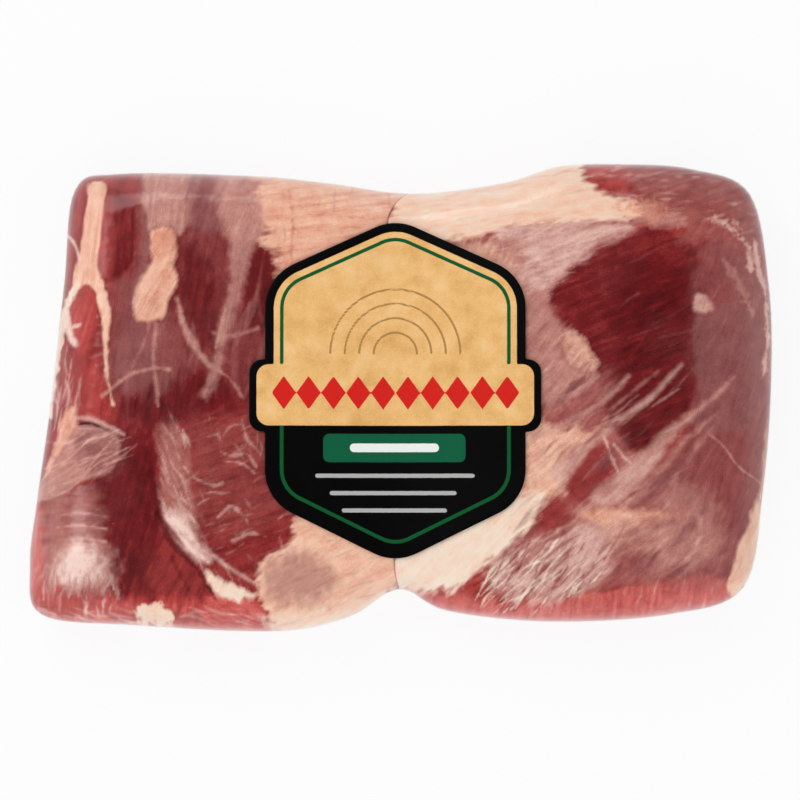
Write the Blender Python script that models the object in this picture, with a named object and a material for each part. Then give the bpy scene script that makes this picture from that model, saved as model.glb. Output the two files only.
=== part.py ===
"""A sealed pack of raw lamb: two short racks side by side in one clear, shrunk-on bag, with a paper label.

The bag is drawn tight over the meat, so its skin is the shape of the two racks: a rounded slab with a bay
at each end where the racks meet, a shallow valley between them, and a mound over each eye of meat. It lies
on its flat back. The origin is on the ground under the middle of the pack; +X runs across both racks, +Y
along their spines, +Z up. Plans are in millimetres and become metres in the meshes.
"""

import bmesh
import bpy
import numpy as np

MM = 0.001

# The pack
FULL_THICKNESS = 41.0  # over the plain slab, before its mounds and valley
WAIST = 0.44  # height of the pack's widest line, as a share of its thickness
BACK_EDGE = 11.0  # radius of the edge round the flat back
END_EDGE = 13.0  # radius of the top edge at the cut ends of the racks
SIDE_EDGE = 24.0  # and at the pack's two long outer sides
SIDE_STARTS = (96.0, 150.0)  # |x| over which the edge grows from END_EDGE to SIDE_EDGE
BACK_HOLLOW = 2.5  # how far the back rises between the racks
BACK_HOLLOW_REACH = 30.0  # and how far it reaches to either side

# Outline from above, anticlockwise, split at the middles of its four corners
RIGHT_SIDE = [(143.5, -79.5), (152, -38), (155.5, 8), (154.5, 48), (146.5, 86)]
FAR_END = [
    (146.5, 86), (122, 96.5), (92, 98.5), (66, 97.5), (42, 90.5),
    (5, 86.5), (-30, 90.5), (-62, 93.5), (-118, 94.5), (-137.5, 87.5),
]
LEFT_SIDE = [(-137.5, 87.5), (-142, 48), (-147.5, -2), (-153, -42), (-156, -70), (-151, -91)]
NEAR_END = [
    (-151, -91), (-112, -95.5), (-52, -98), (-22, -92), (-1, -80.5),
    (19, -89.5), (62, -94), (112, -91), (143.5, -79.5),
]

# Mounds and hollows: x, y, spread along x, spread along y, height
RELIEF = {
    "left_eye": (-84, -26, 34, 50, 4.5),
    "left_corner": (-128, -70, 24, 24, 4.0),
    "left_flank": (-112, 42, 26, 40, 2.0),
    "left_seam": (-102, -46, 9, 30, -2.5),
    "right_eye": (96, 30, 42, 46, 5.5),
    "right_flank": (84, -58, 50, 26, 3.0),
    "right_rim": (134, -10, 14, 70, -2.0),
    "valley": (-1, 0, 27, 400, -3.5),
    "far_bay": (3, 94, 24, 10, -8.0),
    "near_bay": (-1, -88, 22, 10, -8.0),
}

# Grid of the faceted skin
EDGE_ROWS = 6
SKIN_COLUMNS = 38
SKIN_ROWS = 22
SAMPLES_PER_SPAN = 16

# The label: a tall six-sided plaque with rounded corners, and a wider band across it
LABEL_MIDDLE = (-3.0, 2.3)
LABEL_HALF_WIDTH = 54.0
LABEL_POINT_HEIGHTS = (73.4, -71.6)  # where the plaque's slanting sides would meet, above and below
LABEL_SHOULDERS = (47.5, -45.0)  # where they would meet its upright sides
LABEL_CORNER = 20.0
BAND_HALF_WIDTH = 60.5
BAND_HEIGHTS = (-16.8, 13.2)
BAND_CORNER = 6.5
LABEL_THICKNESS = 0.4
LABEL_GAP = 0.6  # glue line between the bag and the label, with room for their flat facets
LABEL_GRID = (18, 20)
CORNER_STEPS = 5


def make_material(name, colour, roughness, alpha=1.0):
    """Principled material of one linear colour, part transparent when alpha is under 1."""
    material = bpy.data.materials.new(name)
    material.use_nodes = True
    shader = material.node_tree.nodes["Principled BSDF"]
    shader.inputs["Base Color"].default_value = (*colour, 1)
    shader.inputs["Roughness"].default_value = roughness
    shader.inputs["Alpha"].default_value = alpha
    return material


def smooth_step(low, high, value):
    """0 below low, 1 above high, with a smooth rise between."""
    t = np.clip((value - low) / (high - low), 0, 1)
    return t * t * (3 - 2 * t)


def whole_outline():
    """The four sides as one closed loop of samples, and where each side starts in it."""
    sides = [RIGHT_SIDE, FAR_END, LEFT_SIDE, NEAR_END]
    knots = np.array([p for side in sides for p in side[:-1]], float)
    before = np.roll(knots, 1, axis=0)
    after = np.roll(knots, -1, axis=0)
    beyond = np.roll(knots, -2, axis=0)
    t = np.linspace(0, 1, SAMPLES_PER_SPAN, endpoint=False)[None, :, None]
    # Catmull-Rom: each span leaves a knot along the line between its two neighbours
    loop = 0.5 * (
        2 * knots[:, None]
        + (after - before)[:, None] * t
        + (2 * before - 5 * knots + 4 * after - beyond)[:, None] * t**2
        + (3 * knots - before - 3 * after + beyond)[:, None] * t**3
    )
    starts = np.cumsum([0] + [(len(side) - 1) * SAMPLES_PER_SPAN for side in sides])
    return loop.reshape(-1, 2), starts


def middle_of(loop):
    """The middle of the outline's box, which is the pack's origin."""
    return (loop.min(axis=0) + loop.max(axis=0)) / 2


def along_side(loop, starts, side, shares):
    """Points at these shares of one side's length."""
    points = np.vstack([loop, loop[:1]])[starts[side] : starts[side + 1] + 1]
    steps = np.hypot(*np.diff(points, axis=0).T)
    travelled = np.concatenate([[0], np.cumsum(steps)])
    wanted = shares * travelled[-1]
    return np.stack([np.interp(wanted, travelled, points[:, k]) for k in (0, 1)], axis=-1)


def edge_shares(rows, length):
    """Shares of a length, close together near both ends, where the skin curves down to its widest line."""
    rim = SIDE_EDGE * (1 - np.cos(np.linspace(0, np.pi / 2, EDGE_ROWS + 1)))
    inner = np.linspace(rim[-1], length - rim[-1], rows + 1)
    return np.concatenate([rim[:-1], inner, (length - rim[:-1])[::-1]]) / length


def plan_grid(loop, starts):
    """A grid of plan points that fills the outline: a Coons patch between its four sides."""
    size = loop.max(axis=0) - loop.min(axis=0)
    s = edge_shares(SKIN_COLUMNS, size[0])
    t = edge_shares(SKIN_ROWS, size[1])
    right = along_side(loop, starts, 0, t)
    far = along_side(loop, starts, 1, 1 - s)
    left = along_side(loop, starts, 2, 1 - t)
    near = along_side(loop, starts, 3, s)
    s, t = s[:, None, None], t[None, :, None]
    between_ends = (1 - t) * near[:, None] + t * far[:, None]
    between_sides = (1 - s) * left[None] + s * right[None]
    corners = (
        (1 - s) * (1 - t) * near[0] + s * (1 - t) * near[-1] + (1 - s) * t * far[0] + s * t * far[-1]
    )
    return between_ends + between_sides - corners


def distance_inside(plan, loop):
    """Distance from each plan point to the outline."""
    along = np.roll(loop, -1, axis=0) - loop
    offset = plan[..., None, :] - loop
    t = np.clip((offset * along).sum(-1) / (along**2).sum(-1), 0, 1)
    return np.sqrt((((offset - t[..., None] * along) ** 2).sum(-1)).min(-1))


def quarter_round(distance, radius):
    """0 at the outline and 1 from one radius inwards, following a quarter of an ellipse."""
    t = np.clip(distance / radius, 0, 1)
    return np.sqrt(np.clip(1 - (1 - t) ** 2, 0, 1))


def slab_height(plan):
    """Thickness of the pack away from its edges: the plain slab with its mounds and hollows."""
    height = np.full(plan.shape[:-1], FULL_THICKNESS)
    for x, y, spread_x, spread_y, rise in RELIEF.values():
        from_middle = ((plan[..., 0] - x) / spread_x) ** 2 + ((plan[..., 1] - y) / spread_y) ** 2
        height += rise * np.exp(-from_middle)
    return height


def front_height(plan, loop):
    """Height of the pack's upper skin."""
    radius = END_EDGE + (SIDE_EDGE - END_EDGE) * smooth_step(*SIDE_STARTS, abs(plan[..., 0]))
    height = slab_height(plan)
    waist = WAIST * height
    return waist + (height - waist) * quarter_round(distance_inside(plan, loop), radius)


def back_height(plan, loop):
    """Height of the pack's lower skin: flat, with a rounded edge and a slight hollow between the racks."""
    rounding = quarter_round(distance_inside(plan, loop), BACK_EDGE)
    hollow = BACK_HOLLOW * (1 - smooth_step(0, BACK_HOLLOW_REACH, abs(plan[..., 0])))
    waist = WAIST * slab_height(plan)
    return waist * (1 - rounding) + hollow * rounding


def add_object(name, points, faces, material):
    """A mesh object from points in millimetres."""
    mesh = bpy.data.meshes.new(name)
    mesh.from_pydata((np.asarray(points) * MM).tolist(), [], faces)
    mesh.materials.append(material)
    shape = bmesh.new()
    shape.from_mesh(mesh)
    bmesh.ops.recalc_face_normals(shape, faces=shape.faces)
    shape.to_mesh(mesh)
    shape.free()
    mesh.shade_smooth()
    item = bpy.data.objects.new(name, mesh)
    bpy.context.collection.objects.link(item)
    return item


def grid_faces(columns, rows):
    """Quads of a grid of columns by rows points, numbered column by column."""
    return [
        (c * rows + r, (c + 1) * rows + r, (c + 1) * rows + r + 1, c * rows + r + 1)
        for c in range(columns - 1)
        for r in range(rows - 1)
    ]


def make_bag(loop, starts):
    """The sealed bag, filled out by the two racks: an upper and a lower skin that meet at the widest line."""
    plan = plan_grid(loop, starts)
    columns, rows = plan.shape[:2]
    front = front_height(plan, loop)
    back = back_height(plan, loop)
    plan = plan - middle_of(loop)
    number = np.arange(columns * rows).reshape(columns, rows)
    on_rim = np.ones((columns, rows), bool)
    on_rim[1:-1, 1:-1] = False
    under = number.copy()
    under[~on_rim] = columns * rows + np.arange((~on_rim).sum())
    upper_points = np.dstack([plan, front]).reshape(-1, 3)
    lower_points = np.dstack([plan, back])[~on_rim]
    upper_faces = grid_faces(columns, rows)
    lower_faces = [tuple(int(under.flat[i]) for i in reversed(face)) for face in upper_faces]
    film = make_material("clear_film_over_lamb", (0.32, 0.06, 0.055), 0.25)
    return add_object("sealed_bag", np.vstack([upper_points, lower_points]), upper_faces + lower_faces, film)


def rounded_corner(before, corner, after, radius):
    """Points of the arc that rounds a corner."""
    towards_before = (before - corner) / np.linalg.norm(before - corner)
    towards_after = (after - corner) / np.linalg.norm(after - corner)
    half_angle = np.arccos(np.clip(towards_before @ towards_after, -1, 1)) / 2
    inward = (towards_before + towards_after) / np.linalg.norm(towards_before + towards_after)
    centre = corner + inward * radius / np.sin(half_angle)
    first = corner + towards_before * radius / np.tan(half_angle) - centre
    last = corner + towards_after * radius / np.tan(half_angle) - centre
    steps = np.linspace(0, 1, CORNER_STEPS + 1)[:, None]
    arc = (1 - steps) * first + steps * last
    return centre + arc * radius / np.linalg.norm(arc, axis=1)[:, None]


def rounded_shape(corners, radius):
    """A polygon with its corners rounded."""
    corners = np.array(corners, float)
    return np.vstack([
        rounded_corner(corners[i - 1], corners[i], corners[(i + 1) % len(corners)], radius)
        for i in range(len(corners))
    ])


def make_cutter(name, outline, height):
    """An upright prism of this outline, hidden, which trims the label."""
    count = len(outline)
    low = np.column_stack([outline, np.zeros(count)])
    high = np.column_stack([outline, np.full(count, height)])
    sides = [(i, (i + 1) % count, count + (i + 1) % count, count + i) for i in range(count)]
    caps = [tuple(range(count)), tuple(range(2 * count - 1, count - 1, -1))]
    cutter = add_object(name, np.vstack([low, high]), sides + caps, make_material(name, (0.5, 0.5, 0.5), 0.5))
    cutter.hide_render = True
    cutter.display_type = "WIRE"
    return cutter


def cut_with(item, cutter, operation):
    """A live Boolean between two objects."""
    modifier = item.modifiers.new(operation.title(), "BOOLEAN")
    modifier.operation = operation
    modifier.object = cutter


def make_label(loop):
    """The paper label: a thin plate that follows the bag's skin, trimmed to the plaque and its band."""
    centre = np.array(LABEL_MIDDLE)
    half_size = np.array([BAND_HALF_WIDTH, max(LABEL_POINT_HEIGHTS)]) + 1
    across = np.linspace(-half_size[0], half_size[0], LABEL_GRID[0] + 1)
    along = np.linspace(-half_size[1], half_size[1], LABEL_GRID[1] + 1)
    plan = np.stack(np.meshgrid(across, along, indexing="ij"), axis=-1) + centre
    under = front_height(plan, loop) + LABEL_GAP
    plan = plan - middle_of(loop)
    columns, rows = plan.shape[:2]
    count = columns * rows
    lower = np.dstack([plan, under]).reshape(-1, 3)
    upper = lower + (0, 0, LABEL_THICKNESS)
    upper_faces = [tuple(i + count for i in face) for face in grid_faces(columns, rows)]
    lower_faces = [tuple(reversed(face)) for face in grid_faces(columns, rows)]
    number = np.arange(count).reshape(columns, rows)
    rim = np.concatenate([number[:-1, 0], number[-1, :-1], number[:0:-1, -1], number[0, :0:-1]]).tolist()
    rim_faces = [(a, b, b + count, a + count) for a, b in zip(rim, rim[1:] + rim[:1])]
    paper = make_material("printed_paper", (0.03, 0.03, 0.03), 0.5)
    label = add_object("label", np.vstack([lower, upper]), upper_faces + lower_faces + rim_faces, paper)

    top, bottom = LABEL_POINT_HEIGHTS
    shoulder, hip = LABEL_SHOULDERS
    half = LABEL_HALF_WIDTH
    plaque = [(0, bottom), (half, hip), (half, shoulder), (0, top), (-half, shoulder), (-half, hip)]
    band_low, band_high = BAND_HEIGHTS
    wide = BAND_HALF_WIDTH
    band = [(-wide, band_low), (wide, band_low), (wide, band_high), (-wide, band_high)]
    shift = centre - middle_of(loop)
    reach = FULL_THICKNESS * 2
    plaque_cutter = make_cutter("label_plaque_cutter", rounded_shape(plaque, LABEL_CORNER) + shift, reach)
    band_cutter = make_cutter("label_band_cutter", rounded_shape(band, BAND_CORNER) + shift, reach)
    cut_with(plaque_cutter, band_cutter, "UNION")
    cut_with(label, plaque_cutter, "INTERSECT")
    return label


def build():
    """Clears the scene and makes the pack."""
    for item in list(bpy.data.objects):
        bpy.data.objects.remove(item, do_unlink=True)
    loop, starts = whole_outline()
    make_bag(loop, starts)
    make_label(loop)


build()
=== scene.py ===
import bpy
import numpy as np
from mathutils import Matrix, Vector


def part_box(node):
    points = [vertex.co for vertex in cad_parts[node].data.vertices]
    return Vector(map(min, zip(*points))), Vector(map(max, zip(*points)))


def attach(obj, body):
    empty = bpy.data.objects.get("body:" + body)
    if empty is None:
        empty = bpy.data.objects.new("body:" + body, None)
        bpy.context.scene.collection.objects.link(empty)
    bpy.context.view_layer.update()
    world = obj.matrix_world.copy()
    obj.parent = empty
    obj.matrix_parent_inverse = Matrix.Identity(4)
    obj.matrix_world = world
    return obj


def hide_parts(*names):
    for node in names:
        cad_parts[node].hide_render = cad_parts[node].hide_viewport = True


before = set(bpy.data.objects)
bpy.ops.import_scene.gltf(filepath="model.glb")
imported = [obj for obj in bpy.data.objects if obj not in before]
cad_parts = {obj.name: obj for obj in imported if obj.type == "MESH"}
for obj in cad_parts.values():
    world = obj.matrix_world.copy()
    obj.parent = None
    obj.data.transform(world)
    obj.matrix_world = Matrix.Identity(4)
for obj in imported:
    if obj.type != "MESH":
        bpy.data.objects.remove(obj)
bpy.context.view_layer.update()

# ---------------------------------------------------------------------------------------------------
# The two racks as butchered: loin eye, cap, back fat and silverskin, trimmed short and pressed side by
# side by the bag, so that they share one outline with a bay at each end and a seam between them.
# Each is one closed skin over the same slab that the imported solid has, a little inside it.
# ---------------------------------------------------------------------------------------------------
MM = 0.001
THICKNESS = 41.0
WAIST = 0.44  # height of the widest line, as a share of the thickness
BACK_EDGE = 11.0
END_EDGE = 13.0
SIDE_EDGE = 24.0
SIDE_STARTS = (96.0, 150.0)
BACK_HOLLOW = 2.5
BACK_HOLLOW_REACH = 30.0
RIGHT_SIDE = [(143.5, -79.5), (152, -38), (155.5, 8), (154.5, 48), (146.5, 86)]
FAR_END = [
    (146.5, 86), (122, 96.5), (92, 98.5), (66, 97.5), (42, 90.5),
    (5, 86.5), (-30, 90.5), (-62, 93.5), (-118, 94.5), (-137.5, 87.5),
]
LEFT_SIDE = [(-137.5, 87.5), (-142, 48), (-147.5, -2), (-153, -42), (-156, -70), (-151, -91)]
NEAR_END = [
    (-151, -91), (-112, -95.5), (-52, -98), (-22, -92), (-1, -80.5),
    (19, -89.5), (62, -94), (112, -91), (143.5, -79.5),
]
MOUNDS = {  # x, y, spread along x, spread along y, height
    "left eye": (-84, -26, 34, 50, 4.5),
    "left corner": (-128, -70, 24, 24, 4.0),
    "left flank": (-112, 42, 26, 40, 2.0),
    "left seam": (-102, -46, 9, 30, -2.5),
    "right eye": (96, 30, 42, 46, 5.5),
    "right flank": (84, -58, 50, 26, 3.0),
    "right rim": (134, -10, 14, 70, -2.0),
    "valley": (-1, 0, 27, 400, -3.5),
    "far bay": (3, 94, 24, 10, -8.0),
    "near bay": (-1, -88, 22, 10, -8.0),
}
RACK_SEAM = [(-1, -80.2), (-3, -70), (-4, -40), (-4, 0), (-5, 40), (-6, 70), (-3, 80), (3, 86.2)]
SEAM_EDGE = 2.5  # how far from the seam each rack starts to round down to it
SEAM_DEPTH = 0.08  # and how deep the crease is, as a share of the height over the widest line
RACK_INSET = 0.3  # from the outside of the bag to the meat, in plan
RACK_DEPTH = 1.3  # and below its upper skin
RACK_CELLS = (246, 314)  # about 0.6 mm each
WALL_ROUND = 6  # over which the relief fades out towards the outline
UNDERSIDE_FADE = (4, 18)  # where, inwards from the edge, the tissues of the upper side give way
MEAT_LAYERS = ("lean_tone", "fat", "fat_tone", "skin", "skin_tone", "grain", "fibre_angle")


def smooth_step(low, high, value):
    """0 below low, 1 above high, with a smooth rise between."""
    t = np.clip((value - low) / (high - low), 0, 1)
    return t * t * (3 - 2 * t)


def smooth_curve(points, closed=False, spans=8):
    """Catmull-Rom curve: each span leaves a point along the line between its two neighbours."""
    knots = np.array(points, float)
    if not closed:
        knots = np.vstack([2 * knots[0] - knots[1], knots, 2 * knots[-1] - knots[-2]])
    before = knots if closed else knots[:-3]
    here, after, beyond = (
        np.roll(knots, -k, axis=0) if closed else knots[k : len(knots) - 3 + k] for k in (1, 2, 3)
    )
    t = np.linspace(0, 1, spans, endpoint=False)[None, :, None]
    curve = 0.5 * (
        2 * here[:, None]
        + (after - before)[:, None] * t
        + (2 * before - 5 * here + 4 * after - beyond)[:, None] * t**2
        + (3 * here - before - 3 * after + beyond)[:, None] * t**3
    )
    curve = curve.reshape(-1, knots.shape[1])
    return np.roll(curve, spans, axis=0) if closed else np.vstack([curve, knots[-2]])


def nearest_on_line(plan, line, closed=False):
    """Distance from each plan point to a line, and how far along the line, in points, the nearest spot is."""
    ends = np.roll(line, -1, axis=0) if closed else line[1:]
    starts = line if closed else line[:-1]
    distance = np.full(plan.shape[:-1], 1e9)
    along = np.zeros(plan.shape[:-1])
    for index, (start, end) in enumerate(zip(starts, ends)):
        run = end - start
        offset = plan - start
        t = np.clip(offset @ run / (run @ run + 1e-12), 0, 1)
        gap = np.hypot(*np.moveaxis(offset - t[..., None] * run, -1, 0))
        closer = gap < distance
        distance = np.where(closer, gap, distance)
        along = np.where(closer, index + t, along)
    return distance, along


def inside_outline(points, loop):
    """True where a line to the right of a point crosses the closed outline an odd number of times."""
    start, end = loop, np.roll(loop, -1, axis=0)
    x, y = points[:, :1], points[:, 1:]
    spans = (start[None, :, 1] > y) != (end[None, :, 1] > y)
    slope = (end[:, 0] - start[:, 0]) / (end[:, 1] - start[:, 1] + 1e-9)
    return (spans & (x < start[:, 0] + slope * (y - start[:, 1]))).sum(axis=1) % 2 == 1


def quarter_round(distance, radius):
    """sqrt(1 - u^3): 0 and upright at the edge, and 1, with no crease, from 1.3 radii inwards."""
    u = 1 - np.clip(distance / (1.3 * radius), 0, 1)
    return np.sqrt(1 - u**3)


def slab_height(plan):
    """Thickness away from the edges: the plain slab with a Gaussian for each mound and hollow."""
    height = np.full(plan.shape[:-1], THICKNESS)
    for x, y, spread_x, spread_y, rise in MOUNDS.values():
        from_middle = ((plan[..., 0] - x) / spread_x) ** 2 + ((plan[..., 1] - y) / spread_y) ** 2
        height += rise * np.exp(-from_middle)
    return height


def front_height(plan, edge_distance):
    """Height of the upper skin: from the widest line up to the slab, over a quarter round."""
    radius = END_EDGE + (SIDE_EDGE - END_EDGE) * smooth_step(*SIDE_STARTS, abs(plan[..., 0]))
    height = slab_height(plan)
    waist = WAIST * height
    return waist + (height - waist) * quarter_round(edge_distance, radius)


def back_height(plan, edge_distance):
    """Height of the lower skin: flat, with a rounded edge and a slight hollow between the racks."""
    rounding = quarter_round(edge_distance, BACK_EDGE)
    hollow = BACK_HOLLOW * (1 - smooth_step(0, BACK_HOLLOW_REACH, abs(plan[..., 0])))
    return WAIST * slab_height(plan) * (1 - rounding) + hollow * rounding


def inset(loop, depth):
    """The closed loop moved inwards by depth, square to the line between each point's neighbours."""
    run = np.roll(loop, -1, axis=0) - np.roll(loop, 1, axis=0)
    inward = np.column_stack([-run[:, 1], run[:, 0]]) / np.hypot(*run.T)[:, None]
    return loop + inward * depth


def resample(line, shares):
    """Points at these shares of a line's length."""
    travelled = np.concatenate([[0], np.cumsum(np.hypot(*np.diff(line, axis=0).T))])
    return np.stack([np.interp(shares * travelled[-1], travelled, line[:, k]) for k in (0, 1)], axis=-1)


def rim_shares(cells, length, rims):
    """Shares of a length: even in the middle, and as a quarter circle's plan over the rim at either end."""
    counts = [max(6, int(cells * rim * 1.5 / length)) for rim in rims]
    first = rims[0] * (1 - np.cos(np.linspace(0, np.pi / 2, counts[0] + 1)))
    last = length - rims[1] * (1 - np.cos(np.linspace(0, np.pi / 2, counts[1] + 1)))[::-1]
    middle = np.linspace(first[-1], last[0], cells - sum(counts) + 1)
    return np.concatenate([first[:-1], middle, last[1:]]) / length


def fill_outline(right, far, left, near, s, t):
    """Plan points between four sides, a Coons patch: both pairs of sides blended, less the corners."""
    right, left = resample(right, t), resample(left[::-1], t)
    far, near = resample(far[::-1], s), resample(near, s)
    s, t = s[:, None, None], t[None, :, None]
    across = (1 - t) * near[:, None] + t * far[:, None] + (1 - s) * left[None] + s * right[None]
    corners = (1 - s) * (1 - t) * near[0] + s * (1 - t) * near[-1] + (1 - s) * t * far[0] + s * t * far[-1]
    return across - corners


def closed_skin(name, front, back):
    """A closed mesh from an upper grid and, at every second point, a lower one, which share their rim."""
    columns, rows = front.shape[:2]
    number = np.arange(columns * rows).reshape(columns, rows)
    cells = np.stack([number[:-1, :-1], number[1:, :-1], number[1:, 1:], number[:-1, 1:]], axis=-1)
    under = number[::2, ::2].copy()
    inner = np.zeros(under.shape, bool)
    inner[1:-1, 1:-1] = True
    under[inner] = columns * rows + np.arange(inner.sum())
    faces = cells.reshape(-1, 4).tolist()
    quads = np.stack([under[:-1, :-1], under[:-1, 1:], under[1:, 1:], under[1:, :-1]], axis=-1)
    faces += quads[1:-1, 1:-1].reshape(-1, 4).tolist()
    last_column, last_row = quads.shape[0] - 1, quads.shape[1] - 1
    for c in range(last_column + 1):
        for r in {0, last_row} if 0 < c < last_column else range(last_row + 1):
            a, b, d, e = quads[c, r].tolist()
            face = [a] + ([int(number[0, 2 * r + 1])] if c == 0 else [])
            face += [b] + ([int(number[2 * c + 1, -1])] if r == last_row else [])
            face += [d] + ([int(number[-1, 2 * r + 1])] if c == last_column else [])
            face += [e] + ([int(number[2 * c + 1, 0])] if r == 0 else [])
            faces.append(face)
    points = (np.vstack([front.reshape(-1, 3), back[::2, ::2][inner]]) - (*shift, 0)) * MM
    mesh = bpy.data.meshes.new(name)
    mesh.from_pydata(points.tolist(), [], faces)
    mesh.shade_smooth()
    item = bpy.data.objects.new(name, mesh)
    bpy.context.collection.objects.link(item)
    return item, inner


def grid_noise(x, y, seed):
    """Noise from -1 to 1: random values on a unit grid, blended with a smooth curve between its points."""
    table = np.random.default_rng(seed).uniform(-1, 1, (256, 256))
    column, row = np.floor(x).astype(int), np.floor(y).astype(int)
    fx, fy = x - column, y - row
    fx, fy = fx**3 * (fx * (6 * fx - 15) + 10), fy**3 * (fy * (6 * fy - 15) + 10)
    near = table[column % 256, row % 256] * (1 - fx) + table[(column + 1) % 256, row % 256] * fx
    far = table[column % 256, (row + 1) % 256] * (1 - fx) + table[(column + 1) % 256, (row + 1) % 256] * fx
    return near * (1 - fy) + far * fy


def fibre_noise(plan, angle, length, width, seed, octaves=3):
    """Streaky noise: each octave has half the size and 0.6 of the weight, stretched along the angle."""
    c, s = np.cos(np.radians(angle)), np.sin(np.radians(angle))
    along = (plan[..., 0] * c + plan[..., 1] * s) / length
    across = (plan[..., 1] * c - plan[..., 0] * s) / width
    return sum(
        grid_noise(along * 2**k + 31 * k, across * 2**k + 17 * k, seed + k) * 0.6**k for k in range(octaves)
    )


class Meat:
    """The tissues over a grid of plan points, each an array that patches and streaks are laid into.

    The tones of lean, fat and skin run from 0, the palest, to 1, the darkest, and the covers from 0 to 1.
    Relief is in millimetres.
    """

    def __init__(self, plan, angle, relief_only=False):
        self.plan = plan
        self.relief_only = relief_only
        self.lean_tone = np.full(plan.shape[:-1], 0.5)
        self.fat = np.zeros(plan.shape[:-1])
        self.fat_tone = np.zeros(plan.shape[:-1])
        self.skin = np.zeros(plan.shape[:-1])
        self.skin_tone = np.zeros(plan.shape[:-1])
        self.relief = np.zeros(plan.shape[:-1])
        self.grain = fibre_noise(plan, angle, 14, 1.5, 40)
        self.fibre_angle = np.full(plan.shape[:-1], float(angle))
        self.seed = 100

    def lay(self, tissue, tone, cover, strength, rise, angle):
        """Mixes a tissue in by its cover, over whatever lies there."""
        cover = cover * strength
        if tissue == "lean":
            self.lean_tone += (tone - self.lean_tone) * cover
            self.fat *= 1 - cover
            self.skin *= 1 - cover
        if tissue == "tone":
            self.lean_tone += (tone - self.lean_tone) * cover
        if tissue == "fat":
            share = cover / np.maximum(cover + self.fat * (1 - cover), 1e-6)
            self.fat_tone += (tone - self.fat_tone) * share
            self.fat += (1 - self.fat) * cover
            self.skin *= 1 - cover
        if tissue == "skin":
            share = cover / np.maximum(cover + self.skin * (1 - cover), 1e-6)
            self.skin_tone += (tone - self.skin_tone) * share
            self.skin += (1 - self.skin) * cover
        self.relief += rise * cover
        if angle is not None:
            self.grain += (fibre_noise(self.plan, angle, 14, 1.5, self.seed) - self.grain) * cover
            self.fibre_angle += (angle - self.fibre_angle) * cover

    def patch(self, tissue, tone, outline, edge=1.5, ragged=1.0, strength=1.0, rise=0.0, angle=None):
        """A tissue inside a closed outline, with an edge this soft and this ragged, in mm."""
        self.seed += 10
        if self.relief_only and rise == 0:
            return
        loop = smooth_curve(outline, closed=True, spans=4)
        reach = edge + ragged + 1
        low, high = loop.min(axis=0) - reach, loop.max(axis=0) + reach
        near = np.all((self.plan > low) & (self.plan < high), axis=-1)
        if not near.any():
            return
        points = self.plan[near]
        distance = nearest_on_line(points, loop, closed=True)[0]
        inside = inside_outline(points, loop)
        signed = np.where(inside, distance, -distance)
        stretch = 90 if angle is None else angle
        signed += ragged * fibre_noise(points, stretch, 7 if angle is not None else 4, 2.5, self.seed)
        cover = np.zeros(self.plan.shape[:-1])
        cover[near] = smooth_step(-edge, edge, signed)
        self.lay(tissue, tone, cover, strength, rise, angle)

    def streak(self, tissue, tone, line, width, edge=0.6, ragged=0.3, strength=1.0, rise=0.0):
        """A tissue along a line, as wide as one number, or as a list of widths spread evenly along it."""
        self.seed += 10
        if self.relief_only and rise == 0:
            return
        line = smooth_curve(line, spans=4)
        widths = np.atleast_1d(width)
        reach = widths.max() / 2 + edge + ragged
        low, high = line.min(axis=0) - reach, line.max(axis=0) + reach
        near = np.all((self.plan > low) & (self.plan < high), axis=-1)
        if not near.any():
            return
        points = self.plan[near]
        distance, along = nearest_on_line(points, line)
        share = along / (len(line) - 1)
        half = np.interp(share, np.linspace(0, 1, len(widths)), widths) / 2
        signed = half - distance + ragged * fibre_noise(points, 45, 3, 3, self.seed)
        cover = np.zeros(self.plan.shape[:-1])
        cover[near] = smooth_step(-edge, edge, signed)
        self.lay(tissue, tone, cover, strength, rise, None)

    def threads(self, tissue, tone, outline, angle, count, length=9.0, width=0.9, strength=0.5, rise=0.0):
        """Many short bent streaks inside a closed outline, near one angle and tapered at both ends."""
        self.seed += 10
        draw = np.random.default_rng(self.seed)
        loop = smooth_curve(outline, closed=True, spans=4)
        spots = draw.uniform(loop.min(axis=0), loop.max(axis=0), (count * 4, 2))
        spots = spots[inside_outline(spots, loop)][:count]
        for spot in spots:
            turn = np.radians(angle + draw.normal(0, 8))
            reach = length * draw.uniform(0.5, 1.4) / 2
            run = np.array([np.cos(turn), np.sin(turn)]) * reach
            bend = np.array([-run[1], run[0]]) * draw.normal(0, 0.13)
            wide = width * draw.uniform(0.6, 1.4)
            weight = strength * draw.uniform(0.25, 0.9)
            line = [spot - run, spot + bend, spot + run]
            self.streak(tissue, tone, line, (0.1, wide, 0.1), 0.55, 0.25, weight, rise)


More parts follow.
